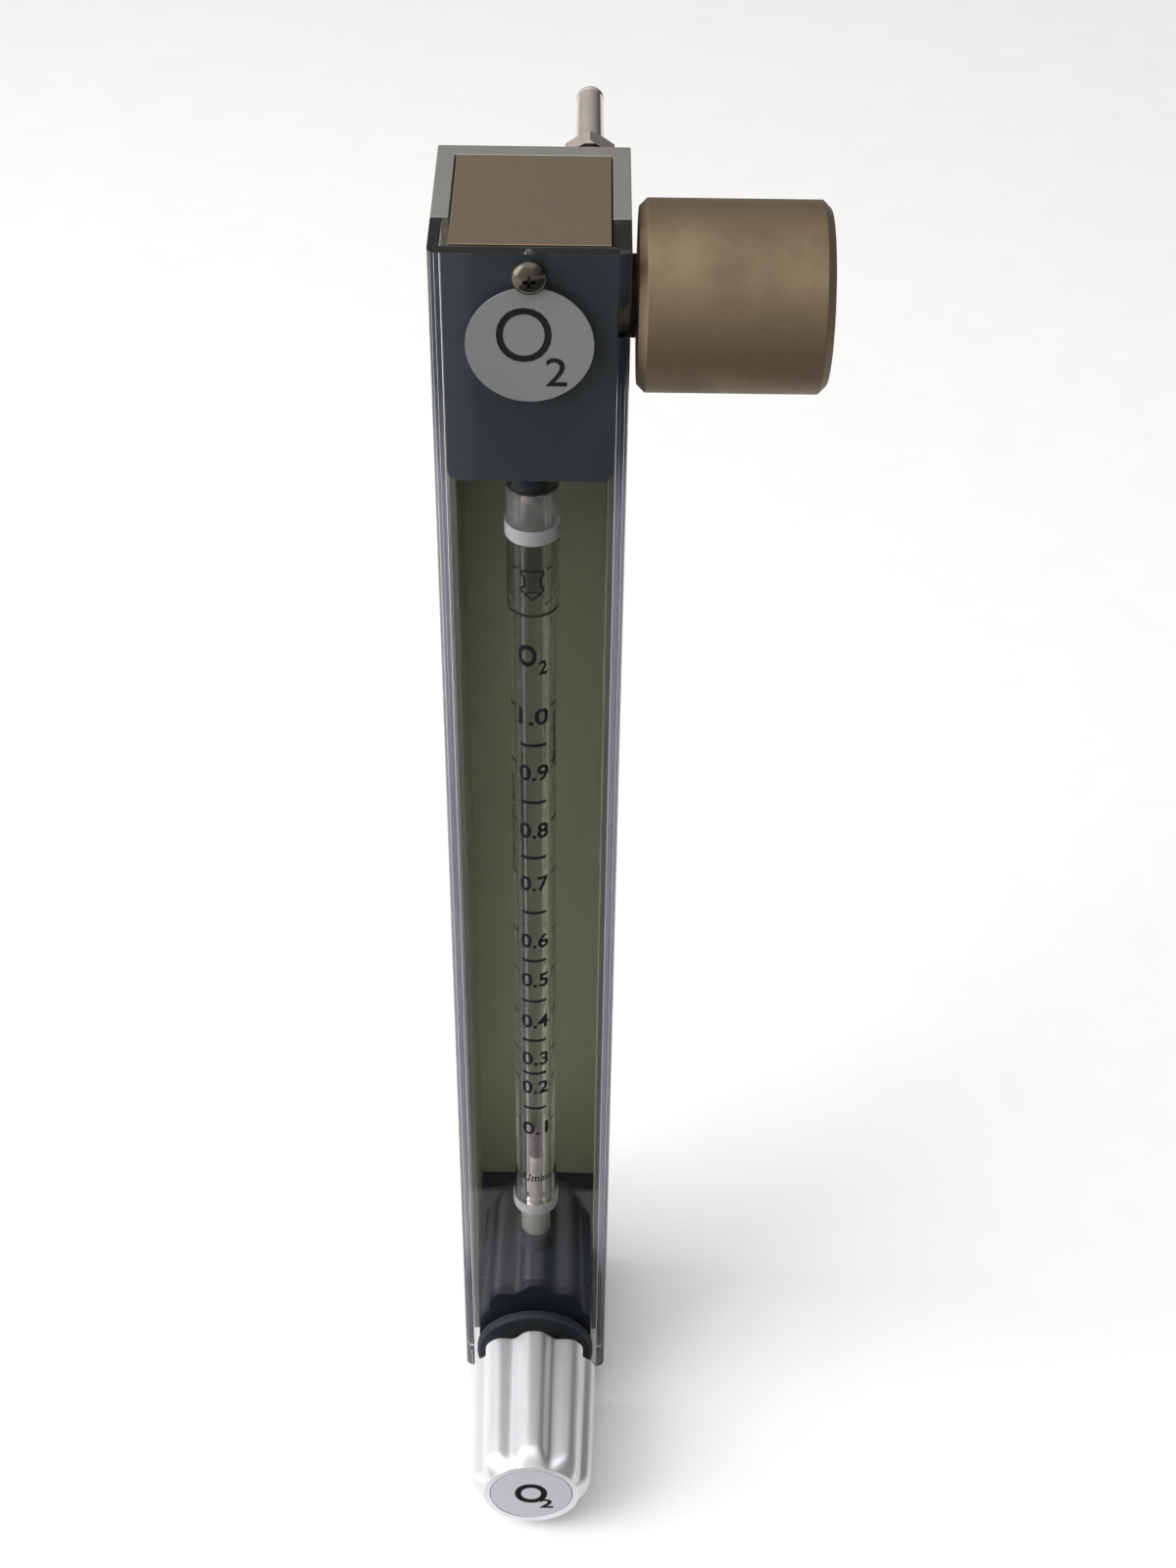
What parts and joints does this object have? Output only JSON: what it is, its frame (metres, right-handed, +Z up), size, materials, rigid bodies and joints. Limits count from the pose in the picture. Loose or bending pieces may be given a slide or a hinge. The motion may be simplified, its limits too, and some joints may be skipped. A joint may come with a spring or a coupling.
{
  "type": "single-tube oxygen flowmeter",
  "caption": "Single-tube oxygen flowmeter: upright channel housing with clear cover, glass scale tube and float, fluted needle-valve knob, brass side coupling and hose spigots.",
  "frame": {"origin": "centre of the housing's flat rear face, half way up", "axes": "+Z up along the scale tube, +Y out of the rear face, +X towards the brass side coupling; the front faces -Y"},
  "size_m": [0.0806, 0.1292, 0.3682],
  "materials": {
    "aluminium": "natural anodised, satin",
    "acrylic": "clear polished acrylic",
    "brass": "turned, fine brushed",
    "black_plastic": "black, satin",
    "black_metal": "black anodised, satin",
    "glass": "clear polished glass",
    "sleeve": "clear flexible plastic",
    "white_plastic": "white, satin",
    "steel": "polished stainless steel",
    "nickel": "nickel plated",
    "knob": "satin silver-white",
    "cap": "light grey, satin",
    "label": "light grey, satin",
    "float": "dusty pink, satin",
    "rubber": "black rubber",
    "ptfe": "white ptfe"
  },
  "bodies": {
    "housing": {"channel_housing": "aluminium", "front_cover": "acrylic", "cover_screw": "steel", "front_label": "label", "top_block": "brass", "top_mask": "black_plastic", "bottom_block": "black_metal", "flow_tube": "glass", "upper_sleeve": "sleeve", "lower_sleeve": "sleeve", "upper_band": "white_plastic", "lower_band": "white_plastic", "sleeve_end_ring": "rubber", "upper_fitting": "black_metal", "upper_fitting_seal": "rubber", "upper_stop": "rubber", "lower_fitting": "steel", "lower_fitting_seal": "rubber", "lower_gland": "black_metal", "valve_body": "brass", "valve_body_seal": "rubber", "knob_collar": "black_plastic", "bonnet_nut": "steel", "needle_guide": "brass", "valve_seat": "ptfe", "coupling_body": "brass", "coupling_neck": "brass", "coupling_washer": "rubber", "outlet_spigot": "nickel", "outlet_washer": "rubber", "inlet_spigot": "nickel", "inlet_washer": "rubber", "rear_screw_low_left": "steel", "rear_screw_low_right": "steel", "rear_screw_high_left": "steel", "rear_screw_high_right": "steel"},
    "knob": {"knob_body": "knob", "knob_cap": "cap", "knob_screw": "steel", "spindle": "steel", "spindle_seal": "rubber"},
    "needle": {"needle": "steel"},
    "float": {"float": "float"}
  },
  "joints": [
    {"name": "knob_turn", "type": "hinge", "parent": "housing", "child": "knob", "pos_m": [0, -0.046, -0.17], "axis": [0, -1, 0], "range_deg": [0, 900]},
    {"name": "needle_slide", "type": "slide", "parent": "housing", "child": "needle", "axis": [0, -1, 0], "range_m": [0, 0.00126]},
    {"name": "float_rise", "type": "slide", "parent": "housing", "child": "float", "axis": [0, 0, 1], "range_m": [0, 0.205]}
  ],
  "couplings": [
    {"joint": "needle_slide", "follows": "knob_turn", "m_per_rad": 0.000079577}
  ]
}
